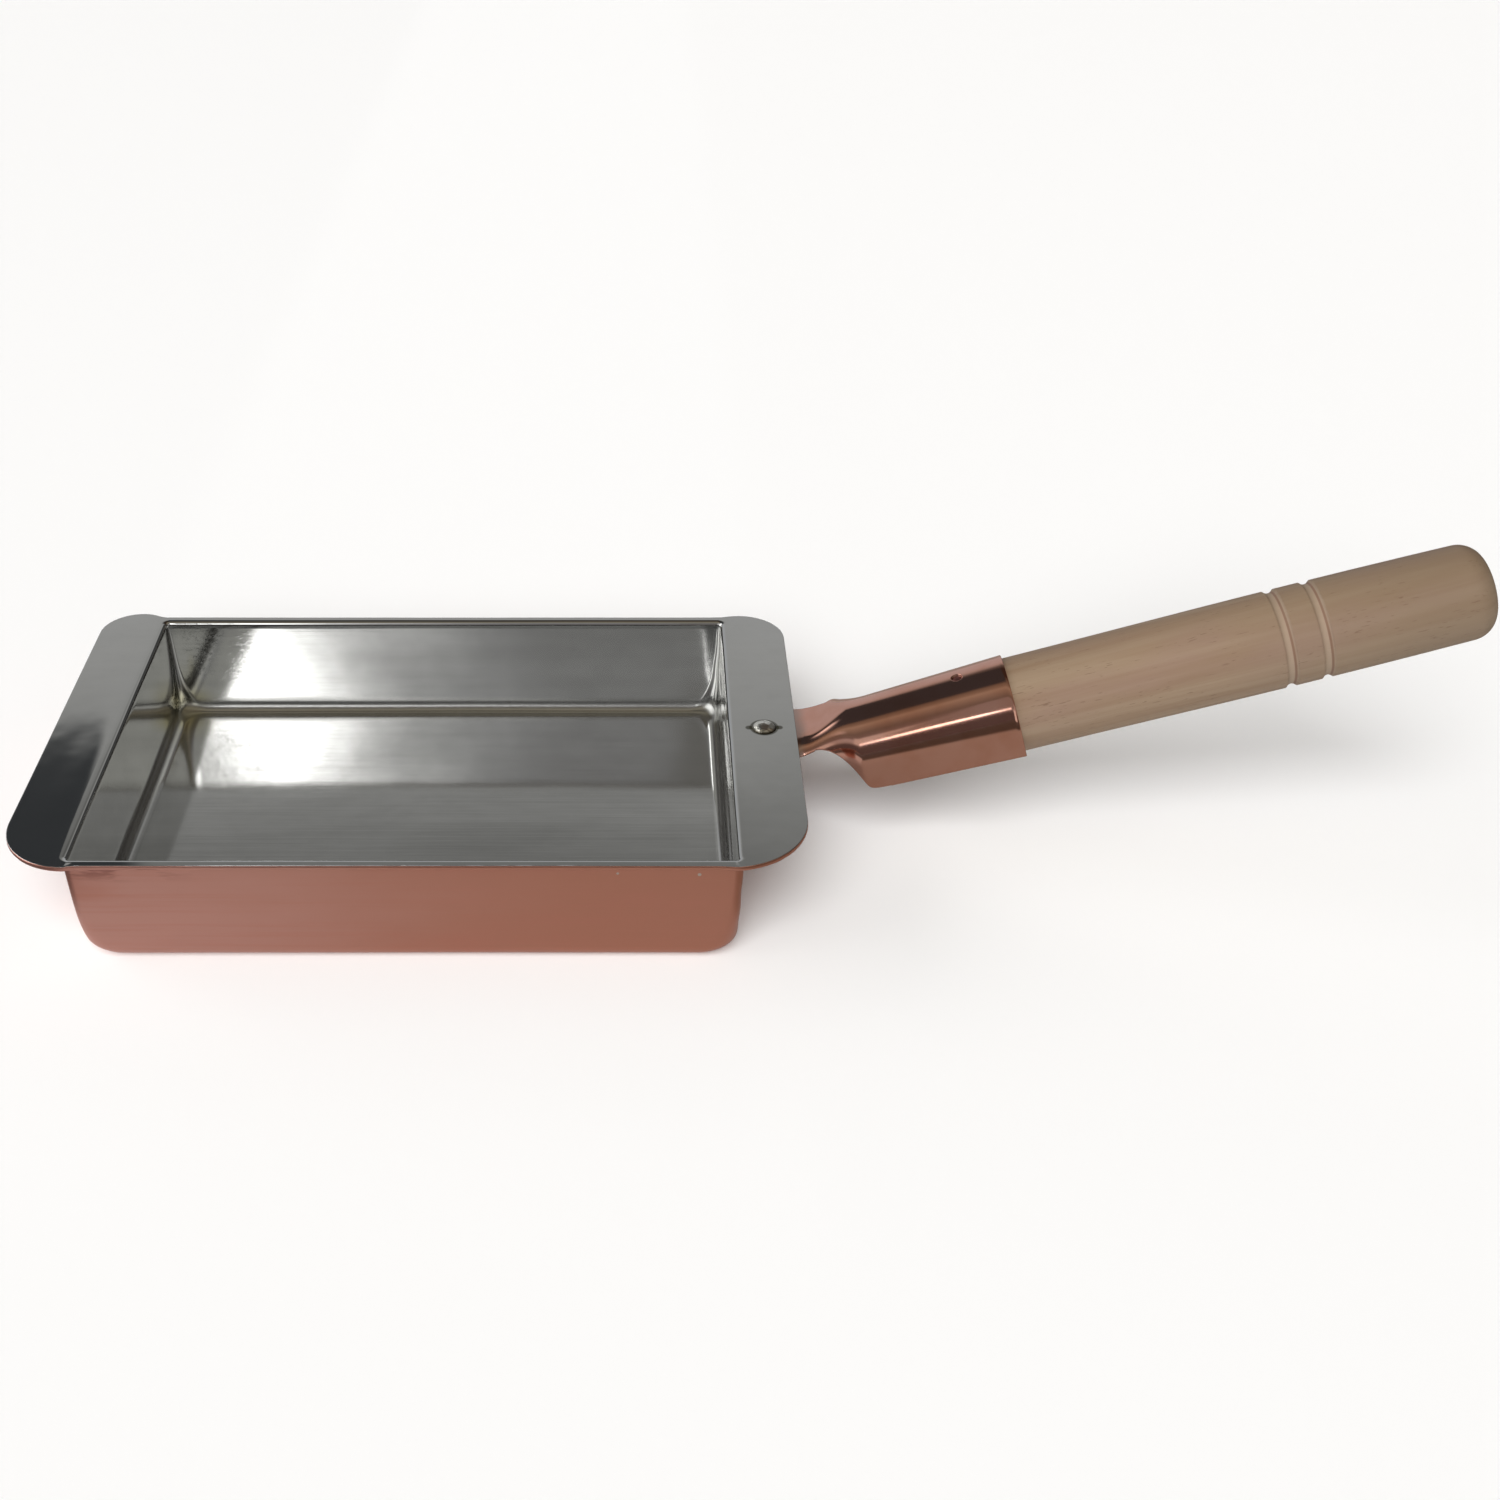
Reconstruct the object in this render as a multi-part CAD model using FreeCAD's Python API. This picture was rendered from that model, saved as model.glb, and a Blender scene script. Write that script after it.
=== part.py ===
import FreeCAD, Part
import math
import os

# Oblong omelette pan of tinned copper with a wooden handle.
# Millimetres. X runs along the pan towards the handle, Y across it, Z up.
# The origin is the centre of the pan's flat underside.

V = FreeCAD.Vector

# Sheets
pan_sheet = 1.2          # copper of the tray
tin_coat = 0.15          # wiped tin inside and on the flanges
ferrule_sheet = 1.0      # copper of the ferrule
solder_film = 0.2        # tin between the tongue and the flange

# Tray, measured at the tinned inner surface
pan_height = 31.5        # underside to the top of the rim
mouth_half = (81.6, 57.1)   # inner half length and half width at the rim
floor_half = (81.0, 56.5)   # the same at the floor
mouth_corner = 0.9       # upright corner radius at the rim
waist_corner = 2.2       # the radius it would grow to on a straight taper
floor_corner = 8.5       # upright corner radius at the floor, where it swells
corner_swell = 5         # power of the swelling: high means only close to the floor
floor_fillet = 3.2       # inner radius between wall and floor
rim_bend = 1.3           # radius where the walls turn out into the rim

# Rim outline
flange_end = 99.7        # half length over the two flanges
lip_side = 60.0          # half width over the narrow lips
lip_sweep = {-1: 2.5, 1: 8.5}   # length over which a lip swells into a flange, by y side
# The flanges are trimmed by hand: half width, and x and y size of each (x, y) corner's rounding
flange_sides = {(1, 1): 60.9, (-1, 1): 62.1, (-1, -1): 60.5, (1, -1): 60.3}
corner_sizes = {(1, 1): (12.5, 12.5), (-1, 1): (10.5, 10.5),
                (-1, -1): (17.6, 18.2), (1, -1): (19.6, 20.0)}

# Handle line: leans up from the flange, set a little off the middle by hand
handle_y = 1.5
handle_tilt = 17.0       # degrees
mouth_point = V(157.3, handle_y, pan_height + 6.8)   # socket mouth, on the handle's axis

# Ferrule
socket_radius = 13.7     # outside, at the mouth
throat_radius = 12.0     # outside, where the socket starts
socket_length = 40.0
socket_skirt = 7.8       # straight sides below the axis
tongue_start = 85.5      # hidden end of the tongue
tongue_half = 11.4       # half width under the flange
tongue_camber = 260.0    # radius of the tongue's slight arch
shoulder_x = 113.0       # where the top line of the socket starts
skirt_corner = 1.6       # rounding of the skirt's front corner
across_count = 33        # points across each section of the sheet
# Each side of the neck is cut and curled on its own, the far side (+Y) later and fuller
neck_start = {-1: 92.0, 1: 99.0}     # where the tongue starts to narrow
neck_half = {-1: 9.1, 1: 8.9}       # half width at the narrowest place
neck_x = {-1: 104.0, 1: 108.0}       # where that is
skirt_x = {-1: 113.4, 1: 118.0}      # where the skirt reaches its full depth
# The near side is folded down tightly at the neck, beside a flat strip that dies out
fold_radius = {-1: 6.0, 1: 40.0}     # outside radius of the fold at the neck
fold_start = {-1: 95.5, 1: 103.0}    # where the fold starts, under the flange on the near side
fold_end = {-1: 101.5, 1: 112.0}
open_start = {-1: 103.0, 1: 105.0}   # where the fold starts to open into the socket's arch
open_end = {-1: 114.0, 1: 118.0}
flat_strip = {-1: 3.1, 1: 0.0}       # half width that stays flat beside the fold

# Rivet and nail
rivet_at = (91.1, 0.7)
rivet_head_radius = 3.3
rivet_head_height = 1.25
rivet_shank_radius = 1.9
rivet_tail_radius = 3.0
rivet_tail_height = 1.1
nail_station = -12.7     # along the handle's axis from the mouth
nail_side = 0.5          # towards -Y from the top line
nail_hole_radius = 1.35
nail_head_radius = 1.3
nail_head_height = 0.7
nail_shank_radius = 0.8
nail_length = 9.0
nail_sink = 0.35         # the head stops this far under the ferrule's surface

# Wooden handle, stations from the socket's mouth
handle_end = 122.5
handle_inside = 36.0     # length inside the socket
belly_station = 66.0
belly_radius = 12.95
tail_radius = 12.4
tail_rounding = 6.0
nose_chamfer = 1.2
groove_stations = (70.0, 79.3)
groove_half_width = 1.5
groove_depth = 0.8

tilt = math.radians(handle_tilt)
along = V(math.cos(tilt), 0, math.sin(tilt))
upward = V(-math.sin(tilt), 0, math.cos(tilt))
copper_top = pan_height - tin_coat
flange_under = copper_top - pan_sheet
wall = pan_sheet + tin_coat


def at(station, side, height):
    """Point given in the handle's own frame: along its axis, across, and up from it."""
    return mouth_point + along * station + V(0, side, 0) + upward * height


def smooth(t):
    """0 to 1 with flat ends."""
    t = min(max(t, 0.0), 1.0)
    return t * t * (3 - 2 * t)


def rounded_oblong(half_x, half_y, radius, z):
    """Closed wire of four straight sides and four corner arcs."""
    edges = []
    corners = ((1, -1), (1, 1), (-1, 1), (-1, -1))
    for number, (sx, sy) in enumerate(corners):
        centre = V(sx * (half_x - radius), sy * (half_y - radius), z)
        start_angle = math.radians(-90 + 90 * number)
        turn = [start_angle + math.radians(step) for step in (0, 45, 90)]
        arc = [centre + V(math.cos(a), math.sin(a), 0) * radius for a in turn]
        edges.append(Part.Arc(*arc).toShape())
        nsx, nsy = corners[(number + 1) % 4]
        next_centre = V(nsx * (half_x - radius), nsy * (half_y - radius), z)
        start = next_centre + V(math.cos(turn[2]), math.sin(turn[2]), 0) * radius
        edges.append(Part.LineSegment(arc[2], start).toShape())
    return Part.Wire(edges)


def tray_solid(grow, top):
    """The tray's inside grown by a thickness, from its floor up to a height."""
    floor_z = wall - grow
    wires = []
    for level in (0, 0.08, 0.18, 0.32, 0.6, 1):
        z = floor_z + (top - floor_z) * level
        depth = (pan_height - z) / (pan_height - wall)
        half = [mouth_half[i] + (floor_half[i] - mouth_half[i]) * depth for i in (0, 1)]
        taper = mouth_corner + (waist_corner - mouth_corner) * depth
        swell = (floor_corner - waist_corner) * max(depth, 0) ** corner_swell
        radius = taper + swell + grow
        wires.append(rounded_oblong(half[0] + grow, half[1] + grow, radius, z))
    solid = Part.makeLoft(wires, True, False)
    low_edges = [e for e in solid.Edges if e.BoundBox.ZMax < floor_z + 0.01]
    return solid.makeFillet(floor_fillet + grow, low_edges)


def rim_outline(z):
    """Outline of the rim: straight lips that swell into the flanges, elliptical corners."""
    edges = []
    for sx, sy in ((1, -1), (1, 1), (-1, 1), (-1, -1)):
        size_x, size_y = corner_sizes[(sx, sy)]
        flange_side = flange_sides[(sx, sy)]
        rise = flange_side - lip_side
        sweep = lip_sweep[sy]
        swell_end = flange_end - size_x
        lip_straight = swell_end - sweep
        middle = V(sx * (lip_straight + sweep / 2), sy * (lip_side + rise / 2), z)
        bend_radius = (sweep ** 2 + rise ** 2) / (4 * rise)
        bend = math.asin(sweep / (2 * bend_radius)) / 2
        reach = bend_radius * math.sin(bend)
        sag = bend_radius * (1 - math.cos(bend))
        lip_point = V(sx * lip_straight, sy * lip_side, z)
        side_point = V(sx * swell_end, sy * flange_side, z)
        first = V(sx * (lip_straight + reach), sy * (lip_side + sag), z)
        second = V(sx * (swell_end - reach), sy * (flange_side - sag), z)
        swell = [Part.Arc(lip_point, first, middle).toShape(),
                 Part.Arc(middle, second, side_point).toShape()]
        centre = V(sx * swell_end, sy * (flange_side - size_y), z)
        corner_end = V(sx * flange_end, sy * (flange_side - size_y), z)
        corner = Part.Ellipse(side_point, corner_end, centre)
        swell.append(Part.ArcOfEllipse(corner, 0, math.pi / 2).toShape())
        edges.append((sx, sy, swell, lip_point, corner_end))
    joined = []
    for number in range(4):
        sx, sy, swell, lip_point, corner_end = edges[number]
        following = edges[(number + 1) % 4]
        if sx * sy < 0:
            joined += swell
            joined.append(Part.LineSegment(corner_end, following[4]).toShape())
        else:
            joined += swell[::-1]
            joined.append(Part.LineSegment(lip_point, following[3]).toShape())
    return Part.Wire(Part.sortEdges(joined)[0])


def rim_block(low, top):
    """Solid plate of the rim's outline between two heights."""
    return Part.Face(rim_outline(low)).extrude(V(0, 0, top - low))


def dished_block(grow, top):
    """Rim-outlined block with the tray's inside taken out and the mouth rounded over."""
    block = rim_block(-5.0, top).cut(tray_solid(grow, top + 1.0))
    mouth_x = mouth_half[0] + grow + 0.5
    mouth = []
    for edge in block.Edges:
        box = edge.BoundBox
        if box.ZMin > top - 0.01 and max(abs(box.XMin), abs(box.XMax)) < mouth_x:
            if max(abs(box.YMin), abs(box.YMax)) < mouth_half[1] + grow + 0.5:
                mouth.append(edge)
    return block.makeFillet(rim_bend - grow, mouth)


def rivet_cylinder(radius, low, high):
    """Upright cylinder on the rivet's axis."""
    base = V(rivet_at[0], rivet_at[1], low)
    return Part.makeCylinder(radius, high - low, base, V(0, 0, 1))


def dome(radius, height, base, direction):
    """Spherical cap standing on a flat circle."""
    ball_radius = (radius ** 2 + height ** 2) / (2 * height)
    centre = base - direction * (ball_radius - height)
    ball = Part.makeSphere(ball_radius, centre)
    keep = Part.makeCylinder(radius + 0.5, height + 1.0, base, direction)
    return ball.common(keep)


def pan_body():
    """One copper sheet: tray, end flanges and side lips."""
    skin = tray_solid(wall, flange_under + pan_sheet / 2)
    plate = rim_block(flange_under, copper_top)
    envelope = skin.fuse(plate).removeSplitter()
    body = envelope.common(dished_block(tin_coat, copper_top))
    return body.cut(rivet_cylinder(rivet_shank_radius, flange_under - 1, copper_top + 1))


def tin_lining():
    """Thin coat that follows the copper over the inside, the flanges and the lips."""
    coat = dished_block(0.0, pan_height).cut(dished_block(tin_coat, copper_top))
    return coat.cut(rivet_cylinder(rivet_shank_radius, flange_under - 1, pan_height + 1))


def crest_point(x):
    """Top line of the ferrule: flat tongue, a steep rise, then the socket's straight top."""
    mouth = at(0, 0, socket_radius)
    throat = at(-socket_length, 0, throat_radius)
    slope = (mouth.z - throat.z) / (mouth.x - throat.x)
    tongue_z = flange_under - solder_film
    if x >= shoulder_x:
        return V(x, handle_y, mouth.z + (x - mouth.x) * slope)
    if x <= flange_end:
        return V(x, handle_y, tongue_z)
    span = shoulder_x - flange_end
    t = (x - flange_end) / span
    shoulder_z = mouth.z + (shoulder_x - mouth.x) * slope
    end_weight = t * t * (3 - 2 * t)
    slope_weight = t * t * (t - 1)
    z = tongue_z + (shoulder_z - tongue_z) * end_weight + slope * span * slope_weight
    return V(x, handle_y, z)


def arch(x, side):
    """One side's arch: half width of its flat strip, and the outside radius beyond it."""
    mouth_x = at(0, 0, socket_radius).x
    throat_x = at(-socket_length, 0, throat_radius).x
    taper = (socket_radius - throat_radius) / (mouth_x - throat_x)
    cone = max(socket_radius - (mouth_x - x) * taper, throat_radius - 1)
    folded = smooth((x - fold_start[side]) / (fold_end[side] - fold_start[side]))
    opened = smooth((x - open_start[side]) / (open_end[side] - open_start[side]))
    turned = (1 - opened) / fold_radius[side] + opened / cone
    curve = (1 - folded) / tongue_camber + folded * turned
    return flat_strip[side] * (1 - opened), 1 / curve


def half_girth(x, side):
    """Half of the flat sheet's width at a section, from the top line to the free edge."""
    neck = neck_half[side]
    if x <= neck_x[side]:
        share = smooth((x - neck_start[side]) / (neck_x[side] - neck_start[side]))
        return tongue_half + (neck - tongue_half) * share
    flat, radius = arch(x, side)
    full = flat + radius * math.pi / 2 + socket_skirt
    reach = (x - neck_x[side]) / (skirt_x[side] - neck_x[side])
    if reach > 1.6:
        return full
    climb = neck + (full - neck) * (0.35 * reach ** 2 + 0.65 * reach ** 1.6)
    gap = climb - full
    return full + (gap - math.sqrt(gap * gap + 4 * skirt_corner ** 2)) / 2


def ferrule_section(x, inset, count):
    """Points across one section, an arc with straight skirts, inset from the outside."""
    crest = crest_point(x)
    lean = tilt * smooth((x - flange_end) / (shoulder_x - flange_end))
    down = V(math.sin(lean), 0, -math.cos(lean))
    points = []
    for number in range(count):
        share = 2 * number / (count - 1) - 1
        side = 1 if share >= 0 else -1
        flat, radius = arch(x, side)
        run = half_girth(x, side) * abs(share)
        first_angle = min(run, flat) / tongue_camber
        turn = min(max(run - flat, 0) / radius, math.pi / 2 - first_angle)
        angle = first_angle + turn
        straight = max(run - flat, 0) - turn * radius
        first_reach = (tongue_camber - radius) * math.sin(first_angle)
        first_drop = (tongue_camber - radius) * (1 - math.cos(first_angle))
        reach = first_reach + (radius - inset) * math.sin(angle)
        drop = first_drop + radius - (radius - inset) * math.cos(angle) + straight
        points.append(crest + V(0, side * reach, 0) + down * drop)
    return points


def ferrule_stations():
    """Sections close together where the sheet turns, further apart on the straight socket."""
    mouth_x = at(0, 0, socket_radius).x
    first = fold_start[-1]
    tongue = [tongue_start + (first - 2 - tongue_start) * i / 4 for i in range(5)]
    turning_end = skirt_x[1] + 4.0
    turning = [first + (turning_end - first) * i / 42 for i in range(43)]
    socket = [turning_end + (mouth_x - turning_end) * i / 8 for i in range(1, 9)]
    return tongue + turning + socket


def sheet_solid(outside, inside):
    """Closed solid between two grids of points that share their layout."""
    skins = []
    for grid in (outside, inside):
        surface = Part.BSplineSurface()
        surface.interpolate(grid)
        skins.append(surface)
    outer, inner = skins
    faces = [outer.toShape(), inner.toShape()]
    u0, u1, v0, v1 = outer.bounds()
    iu0, iu1, iv0, iv1 = inner.bounds()
    for u, iu in ((u0, iu0), (u1, iu1)):
        faces.append(Part.makeRuledSurface(outer.uIso(u).toShape(), inner.uIso(iu).toShape()))
    for v, iv in ((v0, iv0), (v1, iv1)):
        faces.append(Part.makeRuledSurface(outer.vIso(v).toShape(), inner.vIso(iv).toShape()))
    shell = Part.makeShell(faces)
    shell.sewShape()
    solid = Part.Solid(Part.Shell(shell.Faces))
    if solid.Volume < 0:
        solid.reverse()
    return solid


def nail_frame():
    """Point on the ferrule's outside over the nail, and the outward direction there."""
    mouth_gap = -nail_station / socket_length
    radius = socket_radius + (throat_radius - socket_radius) * mouth_gap
    angle = math.asin(nail_side / radius)
    outward = upward * math.cos(angle) - V(0, math.sin(angle), 0)
    return at(nail_station, 0, 0) + outward * radius, outward


def handle_ferrule():
    """One bent sheet: tongue, neck and U-shaped socket, with its rivet and nail holes."""
    count = across_count
    outside = [ferrule_section(x, 0.0, count) for x in ferrule_stations()]
    inside = [ferrule_section(x, ferrule_sheet, count) for x in ferrule_stations()]
    sheet = sheet_solid(outside, inside)
    surface_point, outward = nail_frame()
    hole = Part.makeCylinder(nail_hole_radius, 4.0, surface_point - outward * 2.5, outward)
    tongue_z = flange_under - solder_film
    rivet = rivet_cylinder(rivet_shank_radius, tongue_z - 4, tongue_z + 1)
    return sheet.cut(hole).cut(rivet)


def flange_rivet():
    """Solid rivet: domed head on the flange, shank, and a closed head under the tongue."""
    tail_z = flange_under - solder_film - ferrule_sheet - tongue_sag()
    shank = rivet_cylinder(rivet_shank_radius, tail_z - 0.2, pan_height + 0.2)
    up = V(0, 0, 1)
    head = dome(rivet_head_radius, rivet_head_height, V(*rivet_at, pan_height), up)
    tail = dome(rivet_tail_radius, rivet_tail_height, V(*rivet_at, tail_z), -up)
    return shank.fuse([head, tail]).removeSplitter()


def tongue_sag():
    """How far the cambered tongue drops at the edge of the rivet's tail."""
    reach = abs(rivet_at[1] - handle_y) + rivet_tail_radius
    return reach ** 2 / (2 * tongue_camber)


def tongue_solder():
    """Film of tin that fills the space between the cambered tongue and the flange."""
    step = (fold_start[-1] + 1.0 - tongue_start) / 6
    stations = [tongue_start + step * i for i in range(7)]
    count = across_count
    lower = [ferrule_section(x, 0.0, count) for x in stations]
    upper = [[V(p.x, p.y, flange_under) for p in row] for row in lower]
    film = sheet_solid(upper, lower)
    return film.cut(rivet_cylinder(rivet_shank_radius, flange_under - 4, flange_under + 1))


def wood_radius(station):
    """Radius of the handle: a soft belly between the mouth and the tail."""
    start = socket_radius - ferrule_sheet
    if station < belly_station:
        return start + (belly_radius - start) * smooth(station / belly_station)
    share = (station - belly_station) / (handle_end - belly_station)
    return belly_radius + (tail_radius - belly_radius) * share ** 2


def spline_edge(first, last):
    """Curved outline of the handle between two stations."""
    steps = 6
    stations = [first + (last - first) * i / steps for i in range(steps + 1)]
    curve = Part.BSplineCurve()
    curve.interpolate([V(s, 0, wood_radius(s)) for s in stations])
    return curve.toShape()


def wooden_handle():
    """Turned beech handle with two scored rings and a rounded tail."""
    taper = (socket_radius - throat_radius) / socket_length
    nose_radius = socket_radius - ferrule_sheet - taper * handle_inside
    nose = -handle_inside
    shoulder = V(nose + nose_chamfer, 0, nose_radius + taper * nose_chamfer)
    points = [V(nose, 0, 0), V(nose, 0, nose_radius - nose_chamfer), shoulder,
              V(0, 0, wood_radius(0))]
    edges = [Part.LineSegment(points[i], points[i + 1]).toShape() for i in range(3)]
    station = 0.0
    for groove in groove_stations:
        edges.append(spline_edge(station, groove - groove_half_width))
        near = V(groove - groove_half_width, 0, wood_radius(groove - groove_half_width))
        deep = V(groove, 0, wood_radius(groove) - groove_depth)
        far = V(groove + groove_half_width, 0, wood_radius(groove + groove_half_width))
        edges.append(Part.Arc(near, deep, far).toShape())
        station = groove + groove_half_width
    rounding_start = handle_end - tail_rounding
    edges.append(spline_edge(station, rounding_start))
    rim = wood_radius(rounding_start)
    centre = V(rounding_start, 0, rim - tail_rounding)
    middle = centre + V(1, 0, 1) * (tail_rounding * math.sqrt(0.5))
    face = V(handle_end, 0, rim - tail_rounding)
    edges.append(Part.Arc(V(rounding_start, 0, rim), middle, face).toShape())
    edges.append(Part.LineSegment(face, V(handle_end, 0, 0)).toShape())
    edges.append(Part.LineSegment(V(handle_end, 0, 0), points[0]).toShape())
    profile = Part.Face(Part.Wire(edges))
    turned = profile.revolve(V(0, 0, 0), V(1, 0, 0), 360)
    turned.rotate(V(0, 0, 0), V(0, 1, 0), -handle_tilt)
    turned.translate(mouth_point)
    return turned.cut(nail_solid())


def nail_solid():
    """Copper nail, its head just under the ferrule's surface, its point in the wood."""
    surface_point, outward = nail_frame()
    head_low = surface_point - outward * (nail_sink + nail_head_height)
    head = Part.makeCylinder(nail_head_radius, nail_head_height, head_low, outward)
    point_length = 2.0
    shank_low = head_low - outward * (nail_length - point_length)
    shank = Part.makeCylinder(nail_shank_radius, nail_length - point_length + 0.1,
                              shank_low, outward)
    point = Part.makeCone(0.1, nail_shank_radius, point_length,
                          shank_low - outward * point_length, outward)
    return head.fuse([shank, point]).removeSplitter()


nodes = {
    "pan_body": pan_body,
    "tin_lining": tin_lining,
    "handle_ferrule": handle_ferrule,
    "flange_rivet": flange_rivet,
    "tongue_solder": tongue_solder,
    "wooden_handle": wooden_handle,
    "handle_nail": nail_solid,
}

os.makedirs("parts", exist_ok=True)
for name, make in nodes.items():
    shape = make()
    box = shape.BoundBox
    print(name, "valid", shape.isValid(), "solids", len(shape.Solids),
          "volume", round(shape.Volume, 1), "z", round(box.ZMin, 2), round(box.ZMax, 2))
    shape.exportStep(os.path.join("parts", name + ".step"))
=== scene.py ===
import math

import bpy
import mathutils
import numpy as np
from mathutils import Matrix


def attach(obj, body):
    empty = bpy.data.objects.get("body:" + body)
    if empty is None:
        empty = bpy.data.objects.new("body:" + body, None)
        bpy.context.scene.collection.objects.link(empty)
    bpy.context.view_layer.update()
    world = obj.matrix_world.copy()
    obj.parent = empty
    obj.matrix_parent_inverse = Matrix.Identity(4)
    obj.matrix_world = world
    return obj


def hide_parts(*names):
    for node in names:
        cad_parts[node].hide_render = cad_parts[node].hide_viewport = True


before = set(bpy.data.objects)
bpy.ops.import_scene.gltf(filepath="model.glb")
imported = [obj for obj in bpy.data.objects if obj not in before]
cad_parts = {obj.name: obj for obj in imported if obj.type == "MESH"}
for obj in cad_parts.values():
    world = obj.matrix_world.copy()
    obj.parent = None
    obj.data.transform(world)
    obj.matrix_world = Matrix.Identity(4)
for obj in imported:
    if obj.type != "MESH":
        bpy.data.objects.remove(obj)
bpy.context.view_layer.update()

# ---------------------------------------------------------------------------
# The pan: one sheet of copper, pressed and dressed over a block into a shallow
# oblong tray. Its long edges are turned out as narrow lips and its ends as broad
# flanges, and the rim is trimmed by hand and rubbed smooth.

mm = 0.001
pan_sheet = 1.2
tin_coat = 0.15
wall = pan_sheet + tin_coat
pan_height = 31.5
copper_top = pan_height - tin_coat
flange_under = copper_top - pan_sheet
mouth_half = (81.6, 57.1)
floor_half = (81.0, 56.5)
mouth_corner = 0.9
waist_corner = 2.2
floor_corner = 8.5
corner_swell = 5
floor_fillet = 3.2
rim_bend = 1.3
under_bend = 0.35
edge_inset = 0.16
edge_pull = 0.9
flange_end = 99.7
lip_side = 60.0
lip_sweep = {-1: 2.5, 1: 8.5}
# Each flange corner: its x and y sides, the flange's half width, the rounding's x and y size
flange_corners = ((1, 1, 60.9, 12.5, 12.5), (-1, 1, 62.1, 10.5, 10.5),
                  (-1, -1, 60.5, 17.6, 18.2), (1, -1, 60.3, 19.6, 20.0))
end_steps, corner_steps, side_steps = 30, 16, 40
flange_rings, bend_rings, wall_rings, fillet_rings, floor_rings = 14, 9, 26, 14, 34
fine_corner, fine_side = 240, 700


def ease(share):
    """0 to 1 with flat ends: 3 t squared less 2 t cubed, t held between 0 and 1."""
    share = np.clip(share, 0.0, 1.0)
    return share * share * (3 - 2 * share)


def full_ring(quarters):
    """Joins four quarter outlines, each from an end's middle to a side's middle, into rings.
    Quarters two and four are walked backwards, and the points they share are kept once."""
    first, second, third, fourth = quarters
    walked = [first[:, :-1], second[:, :0:-1], third[:, :-1], fourth[:, :0:-1]]
    return np.concatenate(walked, axis=1)


def tray_quarter(half_x, half_y, radius):
    """Quarter of a rounded oblong for each ring: up the end, round the corner arc, along the
    side. Each argument is one number per ring."""
    half_x, half_y, radius = (np.reshape(v, (-1, 1)) for v in (half_x, half_y, radius))
    up = np.linspace(0, 1, end_steps, endpoint=False)
    turn = np.linspace(0, math.pi / 2, corner_steps + 1)
    back = np.linspace(1, 0, side_steps + 1)[1:]
    x = np.concatenate([half_x + 0 * up, half_x - radius + radius * np.cos(turn),
                        (half_x - radius) * back], axis=1)
    y = np.concatenate([(half_y - radius) * up, half_y - radius + radius * np.sin(turn),
                        half_y + 0 * back], axis=1)
    return np.stack([x, y], axis=2)


def tray_rings(height, grow, shift):
    """Rings of the tray at given heights, grown by the sheet and moved out by a bend or fillet.
    Half sizes taper with depth; the corner radius tapers too and swells close to the floor."""
    depth = (pan_height - height) / (pan_height - wall)
    half = [mouth_half[i] + (floor_half[i] - mouth_half[i]) * depth + grow + shift for i in (0, 1)]
    swell = (floor_corner - waist_corner) * np.clip(depth, 0, None) ** corner_swell
    radius = mouth_corner + (waist_corner - mouth_corner) * depth + swell + grow + shift
    quarter = tray_quarter(half[0], half[1], np.maximum(radius, 0.3))
    return full_ring([quarter * np.array(corner[:2]) for corner in flange_corners])


def rim_quarter(sweep, flange_side, size_x, size_y):
    """Quarter of the rim's outline, matched point for point to the tray's mouth. The lip swells
    into the flange along two equal tangent arcs, and the flange's corner is a quarter ellipse.
    Points beside an end keep the mouth's y, points beside a lip its x, and the corner is
    shared out by length."""
    rise = flange_side - lip_side
    sweep_radius = (sweep ** 2 + rise ** 2) / (4 * rise)
    lip_straight = flange_end - size_x - sweep
    turn = np.linspace(0, math.pi / 2, fine_corner)
    corner_x = flange_end - size_x + size_x * np.cos(turn)
    corner_y = flange_side - size_y + size_y * np.sin(turn)
    x = np.linspace(flange_end - size_x, 0, fine_side)[1:]
    early = np.clip(x - lip_straight, 0, sweep / 2)
    late = np.clip(lip_straight + sweep - x, 0, sweep / 2)
    start = sweep_radius - np.sqrt(sweep_radius ** 2 - early ** 2)
    finish = rise - sweep_radius + np.sqrt(sweep_radius ** 2 - late ** 2)
    y = lip_side + np.where(x < lip_straight + sweep / 2, start, finish)
    line_x = np.concatenate([[flange_end], corner_x, x])
    line_y = np.concatenate([[0.0], corner_y, y])
    length = np.concatenate([[0], np.cumsum(np.hypot(np.diff(line_x), np.diff(line_y)))])
    mouth = tray_quarter(mouth_half[0], mouth_half[1], mouth_corner)[0]
    end_y = mouth[:end_steps + 1, 1]
    side_x = mouth[end_steps + corner_steps:, 0]
    past_corner = len(corner_x)
    end_x = np.interp(end_y, line_y[:past_corner], line_x[:past_corner])
    side_y = np.interp(side_x[::-1], line_x[past_corner:][::-1], line_y[past_corner:][::-1])[::-1]
    from_length = np.interp(end_y[-1], line_y[:past_corner], length[:past_corner])
    to_length = np.interp(-side_x[0], -line_x[past_corner:], length[past_corner:])
    between = np.linspace(from_length, to_length, corner_steps + 1)[1:-1]
    quarter_x = np.concatenate([end_x, np.interp(between, length, line_x), side_x])
    quarter_y = np.concatenate([end_y, np.interp(between, length, line_y), side_y])
    return np.stack([quarter_x, quarter_y], axis=1)[None]


def rim_ring():
    """The whole rim outline, one ring of points."""
    quarters = []
    for sx, sy, flange_side, size_x, size_y in flange_corners:
        quarter = rim_quarter(lip_sweep[sy], flange_side, size_x, size_y)
        quarters.append(quarter * np.array([sx, sy]))
    return full_ring(quarters)[0]


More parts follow.
